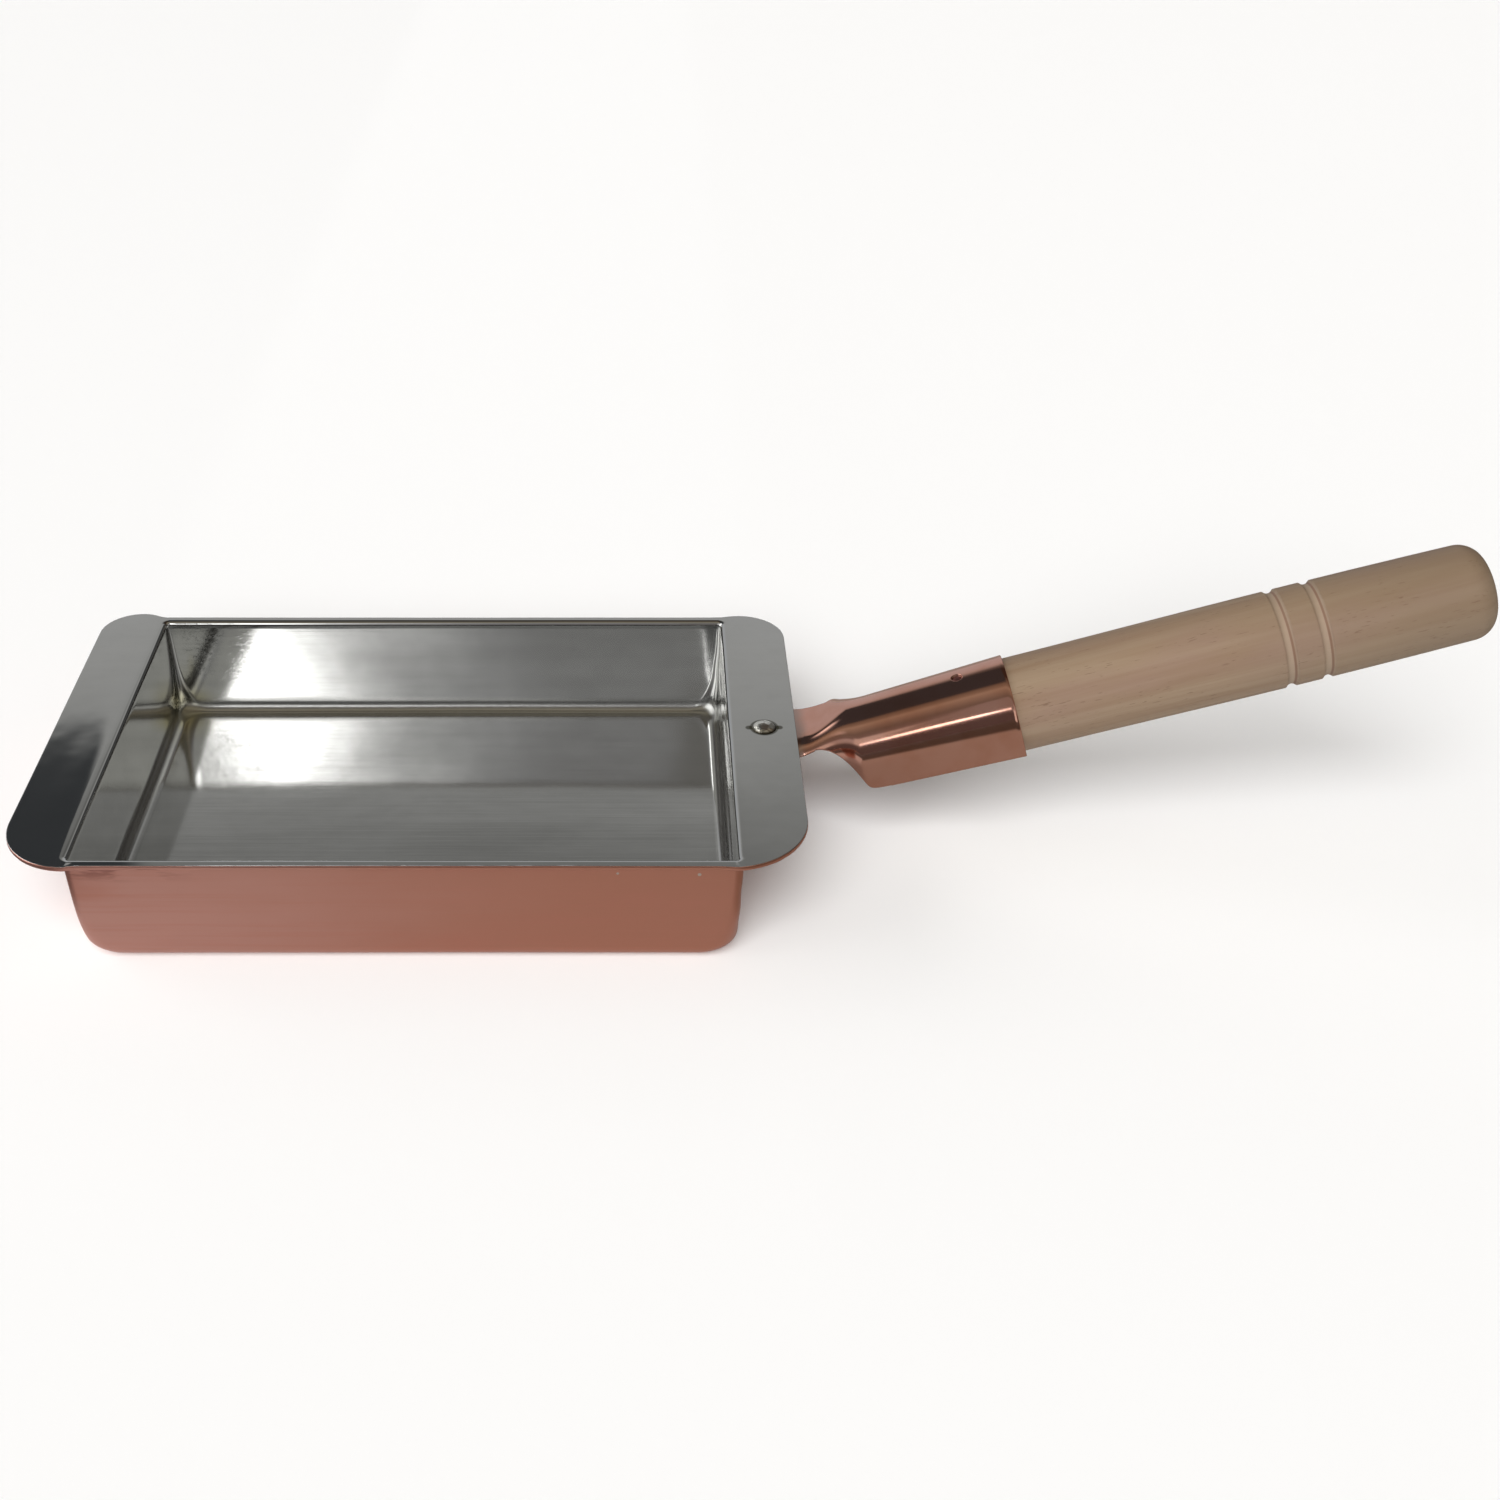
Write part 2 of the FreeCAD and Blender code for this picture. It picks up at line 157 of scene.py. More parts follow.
def dish_skin(grow, top, bend):
    """One skin of the tray from its rim outline to the middle of its floor: flat flange, the
    bend (quarter circle), the tapered wall, the fillet (quarter circle), and the floor, whose
    rings shrink to the middle. Returns rings by points by xyz, in millimetres."""
    floor_z = wall - grow
    fillet = floor_fillet + grow
    rim = rim_ring()
    bend_turn = np.linspace(0, math.pi / 2, bend_rings)
    bend_z = top - bend * (1 - np.cos(bend_turn))
    bent = tray_rings(bend_z, grow, bend * (1 - np.sin(bend_turn)))
    wall_z = np.linspace(top - bend, floor_z + fillet, wall_rings)[1:-1]
    walls = tray_rings(wall_z, grow, 0 * wall_z)
    fillet_turn = np.linspace(0, math.pi / 2, fillet_rings)
    fillet_z = floor_z + fillet * (1 - np.sin(fillet_turn))
    filleted = tray_rings(fillet_z, grow, -fillet * (1 - np.cos(fillet_turn)))
    out = np.linspace(0, 1, flange_rings)[:-1, None, None]
    flange = rim + (bent[0] - rim) * out
    shrink = np.linspace(1, 0, floor_rings)[1:, None, None]
    floor = filleted[-1] * shrink
    flat = np.concatenate([flange, bent, walls, filleted, floor])
    z = np.concatenate([np.full(len(flange), top), bend_z, wall_z, fillet_z,
                        np.full(len(floor), floor_z)])
    return np.concatenate([flat, np.broadcast_to(z[:, None, None], flat[..., :1].shape)], axis=2)


def hand_work(points):
    """The sheet's unevenness in millimetres, the same for every skin so that they stay together:
    sums of long sine waves lift the level parts and push the walls in and out, the flanges sink
    a little at their fold, and short ridges run across the end wall under the handle."""
    x, y, z = points[..., 0], points[..., 1], points[..., 2]
    rim_share = ease(np.maximum(np.abs(x) - 84, np.abs(y) - 58) / 10)
    lift = 0.08 * np.sin(x / 29 + 1.1) * np.sin(y / 24 + 0.4) + 0.02 * np.sin(x / 13 - y / 17)
    flange_lift = 0.05 * np.sin(y / 17 + 0.6 * np.sign(x)) * rim_share
    fold_gap = np.maximum(np.abs(x) - mouth_half[0] - 1.2, 0)
    flange_lift = flange_lift - 0.07 * np.exp(-fold_gap / 3.0) * (np.abs(x) > 81) * (z > 29)
    push_y = 0.10 * np.sin(x / 27 + 0.7) * np.sin(z / 12 + 0.5) + 0.02 * np.sin(x / 9.1 + z / 9)
    push_x = 0.10 * np.sin(y / 19 + 0.3) * np.sin(z / 12 + 0.5) + 0.03 * np.sin(y / 7.7 - z / 8)
    ridges = np.sin(z / 1.7 + 1.3 * np.sin(y / 23)) * ease((z - 5) / 5)
    push_x = push_x + 0.07 * ridges * (x > 0)
    wall_x = ease((np.abs(x) - 76) / 5) * (1 - rim_share)
    wall_y = ease((np.abs(y) - 52) / 5) * (1 - rim_share)
    level = 1 - np.maximum(wall_x, wall_y)
    moved = points.copy()
    moved[..., 0] += push_x * wall_x
    moved[..., 1] += push_y * wall_y
    moved[..., 2] += np.where(z < 6, lift + 0.12, 0) * level + flange_lift
    return moved


def closed_surface(name, rings, caps="poles"):
    """Mesh of rings of points that wrap round, its first and last rings shrunk to a pole, or
    each closed by a flat face. Faces are turned outwards by the sign of the enclosed volume."""
    count, around = rings.shape[:2]
    if caps == "poles":
        rings = rings.copy()
        first, last = rings[0].mean(axis=0), rings[-1].mean(axis=0)
        points = np.concatenate([first[None], rings[1:-1].reshape(-1, 3), last[None]])
        inner = count - 2
    else:
        points = rings.reshape(-1, 3)
        inner = count
    base = 1 if caps == "poles" else 0
    index = base + np.arange(inner * around).reshape(inner, around)
    onward = np.roll(index, -1, axis=1)
    quads = np.stack([index[:-1], onward[:-1], onward[1:], index[1:]], axis=-1).reshape(-1, 4)
    faces = [tuple(q) for q in quads.tolist()]
    if caps == "poles":
        final = len(points) - 1
        faces += [(0, b, a) for a, b in zip(index[0].tolist(), onward[0].tolist())]
        faces += [(final, a, b) for a, b in zip(index[-1].tolist(), onward[-1].tolist())]
    else:
        faces += caps(index)
    corners = points[quads]
    arm = np.cross(corners[:, 2] - corners[:, 0], corners[:, 3] - corners[:, 1])
    middle = corners.mean(axis=1) - points.mean(axis=0)
    if (arm * middle).sum() < 0:
        faces = [face[::-1] for face in faces]
    mesh = bpy.data.meshes.new(name)
    mesh.from_pydata((points * mm).tolist(), [], faces)
    mesh.update()
    mesh.shade_smooth()
    piece = bpy.data.objects.new(name, mesh)
    bpy.context.scene.collection.objects.link(piece)
    return piece


def drawn_in(ring, inset):
    """A flat ring of points, each moved towards the middle by a distance in millimetres."""
    return ring * (1 - inset / np.linalg.norm(ring, axis=1)[:, None])


def edge_rings(low, high, insets):
    """Rings that round a cut edge between two heights: the rim's outline at even heights, each
    ring drawn in by its own inset."""
    outline = rim_ring()
    rings = []
    for z, inset in zip(np.linspace(low, high, len(insets) + 2)[1:-1], insets):
        level = np.full((len(outline), 1), z)
        rings.append(np.concatenate([drawn_in(outline, inset), level], axis=1))
    return np.array(rings)


outer_skin = dish_skin(wall, flange_under, under_bend)
mid_skin = dish_skin(tin_coat, copper_top, rim_bend - tin_coat)
tin_skin = dish_skin(0.0, pan_height, rim_bend)
for skin in (outer_skin, mid_skin, tin_skin):
    skin[0, :, :2] = drawn_in(skin[0, :, :2], edge_inset)
    skin[1, :, :2] += (skin[0, :, :2] - skin[1, :, :2]) * edge_pull
cut_edge = edge_rings(flange_under, copper_top, (0.06, 0.01, 0.0, 0.01, 0.05))
copper_rings = np.concatenate([outer_skin[::-1], cut_edge, mid_skin])
pan = closed_surface("pan_copper", hand_work(copper_rings))


class Port:
    """One output of a shader node. Sums, differences, products and quotients of ports and
    numbers add Math nodes, and node() adds any other node to the same tree."""

    def __init__(self, tree, socket=None):
        self.tree = tree
        self.socket = socket

    def node(self, kind, settings, inputs, output=0):
        """Adds a node: its settings first, then the numbers or ports of its inputs."""
        made = self.tree.nodes.new("ShaderNode" + kind)
        for name, value in settings.items():
            if name == "stops":
                ramp = made.color_ramp.elements
                while len(ramp) < len(value):
                    ramp.new(0.5)
                for stop, (position, colour) in zip(ramp, value):
                    stop.position = position
                    stop.color = (*colour, 1.0)
            else:
                setattr(made, name, value)
        for name, value in inputs.items():
            if isinstance(value, Port):
                self.tree.links.new(value.socket, made.inputs[name])
            else:
                made.inputs[name].default_value = value
        return Port(self.tree, made.outputs[output] if made.outputs else None)

    def math(self, operation, first, second=0.0):
        """Math node of one operation on two values."""
        return self.node("Math", {"operation": operation}, {0: first, 1: second})

    def __add__(self, other):
        return self.math("ADD", self, other)

    def __sub__(self, other):
        return self.math("SUBTRACT", self, other)

    def __rsub__(self, other):
        return self.math("SUBTRACT", other, self)

    def __mul__(self, other):
        return self.math("MULTIPLY", self, other)

    def __truediv__(self, other):
        return self.math("DIVIDE", self, other)

    __radd__ = __add__
    __rmul__ = __mul__

    def absolute(self):
        """This value without its sign."""
        return self.math("ABSOLUTE", self)

    def step(self, low, high):
        """0 below one value, 1 above another, smooth between them."""
        return self.node("MapRange", {"interpolation_type": "SMOOTHSTEP"},
                         {"Value": self, "From Min": low, "From Max": high})

    def blend(self, first, second):
        """Colour between two colours, by this value."""
        inputs = {0: self}
        for number, colour in ((6, first), (7, second)):
            inputs[number] = colour if isinstance(colour, Port) else (*colour, 1.0)
        return self.node("Mix", {"data_type": "RGBA"}, inputs, 2)

    def stretch(self, scale):
        """This position with its three axes scaled, which stretches a pattern read at it."""
        return self.node("VectorMath", {"operation": "MULTIPLY"}, {0: self, 1: scale})

    def noise(self, scale, detail=3.0, roughness=0.5, distortion=0.0):
        """Cloudy pattern, 0 to 1, read at this position."""
        return self.node("TexNoise", {}, {"Vector": self, "Scale": scale, "Detail": detail,
                                          "Roughness": roughness, "Distortion": distortion})

    def gap_to(self, point):
        """Distance in metres from this position to a point in millimetres."""
        place = tuple(v * mm for v in point)
        return self.node("VectorMath", {"operation": "DISTANCE"}, {0: self, 1: place}, 1)

    def near(self, point, reach):
        """1 at a point in millimetres, falling smoothly to 0 at a distance from it."""
        return 1 - self.gap_to(point).step(0.0, reach * mm)

    def axes(self):
        """The x, y and z of this position, as three ports."""
        split = self.node("SeparateXYZ", {}, {0: self})
        outputs = split.socket.node.outputs
        return [Port(self.tree, outputs[number]) for number in range(3)]


def new_finish(name):
    """An empty material, and a port at its Object coordinates."""
    finish = bpy.data.materials.new(name)
    finish.use_nodes = True
    finish.node_tree.nodes.clear()
    place = Port(finish.node_tree).node("TexCoord", {}, {}, 3)
    return finish, place


def lay_finish(place, inputs):
    """Principled surface with these inputs, joined to the material's output."""
    surface = place.node("BsdfPrincipled", {}, inputs)
    place.node("OutputMaterial", {}, {"Surface": surface})


# Satin copper: fine lines rubbed along the pan, browner smears towards the handle, painted
# shade under the lip, and two drips of tin on the front wall
copper_bright = (0.720, 0.381, 0.319)
copper_brown = (0.608, 0.270, 0.187)
copper_red = (0.660, 0.278, 0.206)
lip_shade_colour = (0.360, 0.150, 0.125)
drip_colour = (0.60, 0.50, 0.43)
satin_copper, place = new_finish("satin_copper")
lines = place.stretch((18, 900, 900)).noise(1.0, 4.0, 0.6)
smears = place.stretch((14, 30, 45)).noise(1.0, 4.0, 0.55)
x, y, z = place.axes()
browned = (x + smears * 0.08).step(-0.07, 0.10)
tone = browned.blend(copper_bright, copper_brown)
tone = (smears.step(0.52, 0.72) * 0.5).blend(tone, copper_red)
# Painted shade under the lip: a dark band on the walls just below the rim, mottled by blots.
painted_lip_shade = z.step(0.0245, 0.0285) * (1 - z.step(0.0300, 0.0312))
painted_lip_shade = painted_lip_shade * (1 - x.step(-0.072, -0.045))
tone = (lines.step(0.45, 0.75) * 0.30).blend(tone, copper_red)
blots = place.stretch((90, 200, 420)).noise(1.0, 3.0, 0.6)
tone = (painted_lip_shade * blots.step(0.47, 0.62) * 0.7).blend(tone, lip_shade_colour)
front_wall = -58.4
drips = place.near((72.1, front_wall, 27.6), 0.8) + place.near((52.2, front_wall, 27.9), 0.6)
tone = drips.step(0.25, 0.55).blend(tone, drip_colour)
rub = lines * 0.7 + smears * 0.6
lay_finish(place, {
    "Base Color": tone, "Metallic": 1.0,
    "Roughness": smears * 0.16 + lines * 0.10 + 0.22,
    "Normal": place.node("Bump", {}, {"Strength": 0.30, "Distance": 0.00006, "Height": rub})})
pan.data.materials.append(satin_copper)
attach(pan, "root")
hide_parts("pan_body")

# ---------------------------------------------------------------------------
# The tin: melted and wiped by hand over the tray's inside, its flanges and lips. It is thin,
# soft and bright, with fine wiping lines along the pan, duller streaks and some flux. A painted
# dark reflection rings the rivet's foot, and painted shade darkens the fillet round the floor.

tin_edge = edge_rings(copper_top, pan_height, (0.10, 0.08, 0.10))
tin_rings = np.concatenate([mid_skin[::-1], tin_edge, tin_skin])
tin = closed_surface("tin_coat", hand_work(tin_rings))

tin_bright = (0.640, 0.640, 0.625)
tin_dull = (0.520, 0.520, 0.505)
tin_shade = (0.42, 0.42, 0.40)
tin_flux = (0.50, 0.46, 0.27)
painted_outline_colour = (0.075, 0.070, 0.045)
rivet_at = (91.1, 0.7)
rivet_foot = (*rivet_at, pan_height)
outline_tip_gap = 4.1
wiped_tin, place = new_finish("wiped_tin")
lines = place.stretch((14, 1100, 1100)).noise(1.0, 5.0, 0.65)
wipes = place.stretch((9, 70, 70)).noise(1.0, 4.0, 0.6)
pools = place.noise(55.0, 2.0, 0.4)
x, y, z = place.axes()
inside = 1 - z.step(0.029, 0.0312)
streaks = (wipes.step(0.35, 0.75) * 0.6 + lines.step(0.35, 0.75) * 0.3) * (inside * 0.8 + 0.2)
tone = (streaks + (1 - inside) * 0.4).blend(tin_bright, tin_dull)
blotches = place.noise(130.0, 4.0, 0.6).step(0.40, 0.80)
tone = (blotches * 0.30).blend(tone, tin_dull)
flux = place.near((-79.5, 52.0, 5.0), 11.0) * 0.8 + place.near((-80.5, 40.0, 6.5), 7.0) * 0.6
tone = flux.blend(tone, tin_flux)
# Painted shade: the tin's colour is darkened in the fillet round the floor.
fillet = z.step(0.0015, 0.0024) * (1 - z.step(0.0040, 0.0065))
tone = (fillet * 0.5).blend(tone, tin_shade)
# Painted dark reflection: a dark outline round the rivet's foot, with darker tips at its two ends.
from_rivet = place.gap_to(rivet_foot)
painted_rivet_outline = from_rivet.step(0.0030, 0.0034) * (1 - from_rivet.step(0.0036, 0.0041))
painted_outline_tips = (place.near((rivet_at[0] - outline_tip_gap, rivet_at[1], pan_height), 1.7)
         + place.near((rivet_at[0] + outline_tip_gap, rivet_at[1], pan_height), 1.7))
tone = (painted_rivet_outline * 0.75 + painted_outline_tips.step(0.2, 0.7) * 0.8).blend(tone, painted_outline_colour)
scuffs = place.stretch((420, 420, 800)).noise(1.0, 3.0, 0.7).step(0.52, 0.66)
scuffs = scuffs * place.near((-68.0, 57.0, 22.0), 17.0).step(0.1, 0.5)
relief = inside * (lines * 0.20 + wipes * 0.4) + pools * 1.2 + scuffs * 0.22
lay_finish(place, {
    "Base Color": tone, "Metallic": 1.0,
    "Roughness": inside * (lines * 0.06 + wipes * 0.03 + fillet * 0.16) + 0.05,
    "Normal": place.node("Bump", {}, {"Strength": 0.35, "Distance": 0.00010,
                                      "Height": relief})})
tin.data.materials.append(wiped_tin)
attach(tin, "root")
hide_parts("tin_lining")

# ---------------------------------------------------------------------------
# The ferrule: one piece of thin copper, flat where it is riveted under the flange, drawn in at
# the neck and rolled into a U round the handle. It is polished brighter than the pan.

handle_y = 1.5
tilt = math.radians(17.0)
along = np.array([math.cos(tilt), 0, math.sin(tilt)])
upward = np.array([-math.sin(tilt), 0, math.cos(tilt)])
across = np.array([0.0, 1.0, 0.0])
mouth_point = np.array([157.3, handle_y, pan_height + 6.8])
ferrule_sheet = 1.0
solder_film = 0.2
socket_radius = 13.7
throat_radius = 12.0
socket_length = 40.0
socket_skirt = 7.8
tongue_start = 85.5
tongue_half = 11.4
tongue_camber = 260.0
shoulder_x = 113.0
skirt_corner = 1.6
cut_square = 0.35
cut_power = 1.6
cut_end = 1.6
neck_start = {-1: 92.0, 1: 99.0}
neck_half = {-1: 9.1, 1: 8.9}
neck_x = {-1: 104.0, 1: 108.0}
skirt_x = {-1: 113.4, 1: 118.0}
fold_radius = {-1: 6.0, 1: 40.0}
fold_start = {-1: 95.5, 1: 103.0}
fold_end = {-1: 101.5, 1: 112.0}
open_start = {-1: 103.0, 1: 105.0}
open_end = {-1: 114.0, 1: 118.0}
flat_strip = {-1: 3.1, 1: 0.0}
nail_station = -12.7
nail_side = 0.5
nail_hole_radius = 1.35
nail_pit = 0.55
mouth_top = mouth_point + upward * socket_radius
throat_top = mouth_point - along * socket_length + upward * throat_radius


def crest_height(x):
    """Top line of the ferrule: level tongue, a cubic rise, then the socket's straight slope."""
    slope = (mouth_top[2] - throat_top[2]) / (mouth_top[0] - throat_top[0])
    tongue_z = flange_under - solder_film
    span = shoulder_x - flange_end
    share = np.clip((x - flange_end) / span, 0, 1)
    shoulder_z = mouth_top[2] + (shoulder_x - mouth_top[0]) * slope
    rise = tongue_z + (shoulder_z - tongue_z) * ease(share)
    rise = rise + slope * span * share ** 2 * (share - 1)
    return np.where(x >= shoulder_x, mouth_top[2] + (x - mouth_top[0]) * slope, rise)


def arch(x, side):
    """One side's arch: half width of its flat strip, and the radius beyond it. Reciprocals of
    the tongue's camber, of the tight fold and of the tapered socket are blended in turn."""
    taper = (socket_radius - throat_radius) / (mouth_top[0] - throat_top[0])
    cone = socket_radius - (mouth_top[0] - x) * taper
    folded = ease((x - fold_start[side]) / (fold_end[side] - fold_start[side]))
    opened = ease((x - open_start[side]) / (open_end[side] - open_start[side]))
    turned = (1 - opened) / fold_radius[side] + opened / np.maximum(cone, throat_radius - 1)
    return flat_strip[side] * (1 - opened), 1 / ((1 - folded) / tongue_camber + folded * turned)


def half_girth(x, side):
    """Width of the flat sheet from the top line to one free edge: tongue, neck, then a cut that
    widens to the full skirt by a square and a lower power of the distance, its corner rounded
    by a smooth minimum."""
    neck, start, narrowest = neck_half[side], neck_start[side], neck_x[side]
    drawn = tongue_half + (neck - tongue_half) * ease((x - start) / (narrowest - start))
    flat, radius = arch(x, side)
    full = flat + radius * math.pi / 2 + socket_skirt
    reach = np.clip((x - narrowest) / (skirt_x[side] - narrowest), 0, cut_end)
    climb = cut_square * reach ** 2 + (1 - cut_square) * reach ** cut_power
    gap = neck + (full - neck) * climb - full
    rounded = full + (gap - np.sqrt(gap * gap + 4 * skirt_corner ** 2)) / 2
    return np.where(x <= narrowest, drawn, np.where(reach >= cut_end, full, rounded))


def ferrule_rings(x, share, inset, spare):
    """Rings round the sheet, one for each x: points at a share of the girth and a depth in the
    sheet. Each side is a nearly flat strip, a tighter arc and a straight skirt, and the whole
    section leans with the handle."""
    x = x[:, None]
    lean = tilt * ease((x - flange_end) / (shoulder_x - flange_end))
    near, far = arch(x, -1), arch(x, 1)
    flat, radius = (np.where(share < 0, near[i], far[i]) for i in (0, 1))
    girth = np.where(share < 0, half_girth(x, -1), half_girth(x, 1))
    run = np.abs(share) * (girth + spare)
    beyond = np.maximum(run - flat, 0)
    first_angle = np.minimum(run, flat) / tongue_camber
    turn = np.minimum(beyond / radius, math.pi / 2 - first_angle)
    angle = first_angle + turn
    depth = inset * ferrule_sheet
    out = (tongue_camber - radius) * np.sin(first_angle) + (radius - depth) * np.sin(angle)
    drop = (tongue_camber - radius) * (1 - np.cos(first_angle))
    drop = drop + radius - (radius - depth) * np.cos(angle) + beyond - turn * radius
    return np.stack([x + np.sin(lean) * drop, handle_y + np.sign(share) * out,
                     crest_height(x) - np.cos(lean) * drop], axis=2)


def gathered(low, high, count, middle, reach, extra):
    """Numbers from low to high, with extra ones close together round a middle."""
    even = np.linspace(low, high, count)
    close = np.linspace(middle - reach, middle + reach, extra)
    far = even[(even < middle - reach) | (even > middle + reach)]
    return np.sort(np.concatenate([far, close]))


nail_radius = socket_radius + (throat_radius - socket_radius) * (-nail_station / socket_length)
nail_angle = math.asin(nail_side / nail_radius)
nail_out = upward * math.cos(nail_angle) - across * math.sin(nail_angle)
nail_point = mouth_point + along * nail_station + nail_out * nail_radius
crest_under_nail = nail_point[0] + 0.1
turning_start, turning_end = 95.0, 121.0
stations = np.concatenate([
    np.linspace(tongue_start, turning_start, 12)[:-1],
    np.linspace(turning_start, turning_end, 105)[:-1],
    gathered(turning_end, mouth_top[0], 30, crest_under_nail, 2.0, 37)])
nail_share = -0.016
girth_near_nail = 0.06
shares = gathered(-1.0, 1.0, 81, nail_share, girth_near_nail, 37)
# Round a cut edge: depth in the sheet, and how far the edge stands out, in four steps
rounding = np.array([0.12, 0.35, 0.65, 0.88])
bulge = np.array([0.10, 0.16, 0.16, 0.10])
loop_share = np.concatenate([shares, np.ones(4), shares[::-1], -np.ones(4)])
loop_inset = np.concatenate([0 * shares, rounding, 0 * shares + 1, rounding[::-1]])
loop_spare = np.concatenate([0 * shares, bulge, 0 * shares, bulge]) - edge_inset
end_shift = (0.10, edge_inset)
end_thin = (0.80, 0.45)
body = ferrule_rings(stations, loop_share, loop_inset, loop_spare)
ends = []
for sign, station in ((-1, stations[0]), (1, stations[-1])):
    ends.append([ferrule_rings(np.array([station + sign * (shift - edge_inset)]), loop_share,
                               0.5 + (loop_inset - 0.5) * thin, loop_spare)[0]
                 for shift, thin in zip(end_shift, end_thin)])
body[0] = ferrule_rings(stations[:1] + edge_inset, loop_share, loop_inset, loop_spare)[0]
body[-1] = ferrule_rings(stations[-1:] - edge_inset, loop_share, loop_inset, loop_spare)[0]
sheet_rings = np.concatenate([np.array(ends[0][::-1]), body, np.array(ends[1])])
from_nail = sheet_rings - nail_point
off_axis = np.linalg.norm(from_nail - (from_nail @ nail_out)[..., None] * nail_out, axis=2)
on_outside = np.broadcast_to(loop_inset == 0, off_axis.shape)
pit = nail_pit * (1 - ease((off_axis - nail_hole_radius + 0.12) / 0.30)) * on_outside
sheet_rings = sheet_rings - pit[..., None] * nail_out


def sheet_ends(index):
    """Faces that close a bent sheet's two ends: quads from the outside to the inside, and one
    face at each rounded side edge."""
    count = len(shares)
    side = len(rounding)
    faces = []
    for row, order in ((index[0], -1), (index[-1], 1)):
        outside = row[:count]
        inside = row[count + side:2 * count + side][::-1]
        quads = np.stack([outside[:-1], outside[1:], inside[1:], inside[:-1]], axis=1)
        right = [outside[-1], *row[count:count + side], inside[-1]]
        left = [inside[0], *row[2 * count + side:], outside[0]]
        for face in quads.tolist() + [right, left]:
            faces.append(tuple(int(v) for v in face[::order]))
    return faces


ferrule = closed_surface("ferrule", sheet_rings, sheet_ends)

ferrule_copper = (0.780, 0.430, 0.335)
ferrule_deep = (0.710, 0.355, 0.255)
tinned_copper = (0.50, 0.40, 0.36)
pit_shade_copper = (0.120, 0.022, 0.014)
polished_copper, place = new_finish("polished_copper")
lines = place.stretch((60, 1400, 1400)).noise(1.0, 4.0, 0.6)
clouds = place.noise(90.0, 3.0, 0.5)
x, y, z = place.axes()
tone = clouds.step(0.35, 0.75).blend(ferrule_copper, ferrule_deep)
tinned = (1 - (x + clouds * 0.004).step(0.1018, 0.1055)) * 0.75
tone = tinned.blend(tone, tinned_copper)
# Painted shade in the nail's pit: the copper round the hole is darkened.
burn_and_pit_shade = place.near(nail_point, 2.6).step(0.30, 0.55)
tone = (burn_and_pit_shade * 0.9).blend(tone, pit_shade_copper)
lay_finish(place, {
    "Base Color": tone, "Metallic": 1.0,
    "Roughness": clouds * 0.06 + lines * 0.05 + 0.06 + tinned * 0.15 + burn_and_pit_shade * 0.3,
    "Normal": place.node("Bump", {}, {"Strength": 0.18, "Distance": 0.00005,
                                      "Height": lines * 0.3 + clouds * 1.5})})
ferrule.data.materials.append(polished_copper)
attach(ferrule, "root")
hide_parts("handle_ferrule")

# ---------------------------------------------------------------------------
# The rivet: a copper rivet set by hand through flange and tongue, and tinned over with the
# pan. Its low domed head shows on the flange, its closed head under the tongue.

rivet_head_radius = 3.3
rivet_head_height = 1.25
rivet_tail_radius = 3.0
rivet_tail_height = 1.1
rivet_shank_radius = 1.9


def turned(name, profile, origin, axis, side, around):
    """Surface of revolution: radius over distance along an axis, closed at both ends."""
    profile = np.asarray(profile, float)
    other = np.cross(axis, side)
    turn = np.linspace(0, 2 * math.pi, around, endpoint=False)
    spoke = np.cos(turn)[:, None] * side + np.sin(turn)[:, None] * other
    rings = origin + profile[:, :1, None] * axis + profile[:, 1:, None] * spoke
    return closed_surface(name, rings)


def cap_profile(radius, height, base, sign, count):
    """Rounded head of a rivet, from its middle to its edge: a circle's arc through both."""
    ball = (radius ** 2 + height ** 2) / (2 * height)
    r = radius * np.sin(np.linspace(0, math.pi / 2, count))
    return np.stack([base + sign * (np.sqrt(ball ** 2 - r ** 2) - ball + height), r], axis=1)


tongue_sag = (abs(rivet_at[1] - handle_y) + rivet_tail_radius) ** 2 / (2 * tongue_camber)
tail_z = flange_under - solder_film - ferrule_sheet - tongue_sag
tail = cap_profile(rivet_tail_radius, rivet_tail_height, tail_z, -1, 12)
head = cap_profile(rivet_head_radius, rivet_head_height, pan_height + 0.1, 1, 20)[::-1]
shank = np.array([[tail_z + 0.02, rivet_tail_radius - 0.1], [tail_z + 0.05, rivet_shank_radius],
                  [pan_height - 0.1, rivet_shank_radius],
                  [pan_height - 0.1, rivet_head_radius - 0.5],
                  [pan_height + 0.02, rivet_head_radius - 0.08]])
rivet = turned("rivet", np.concatenate([tail, shank, head]),
               np.array([rivet_at[0], rivet_at[1], 0.0]), np.array([0, 0, 1.0]),
               np.array([1.0, 0, 0]), 64)
rivet_tin = (0.86, 0.84, 0.76)
painted_edge_dark = (0.08, 0.07, 0.05)
tinned_rivet, place = new_finish("tinned_rivet")
dents = place.noise(420.0, 2.0, 0.5)
# Painted dark reflection: the head is darkened towards its steep edge.
painted_dark_edge = place.gap_to(rivet_foot).step(0.0026, 0.0032)
lay_finish(place, {
    "Base Color": painted_dark_edge.blend(rivet_tin, painted_edge_dark), "Metallic": 1.0,
    "Roughness": dents * 0.15 + 0.20,
    "Normal": place.node("Bump", {}, {"Strength": 0.9, "Distance": 0.0008, "Height": dents})})
rivet.data.materials.append(tinned_rivet)
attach(rivet, "root")
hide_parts("flange_rivet")

# ---------------------------------------------------------------------------
# The solder: tin that ran between the tongue and the flange while the pan was hot.

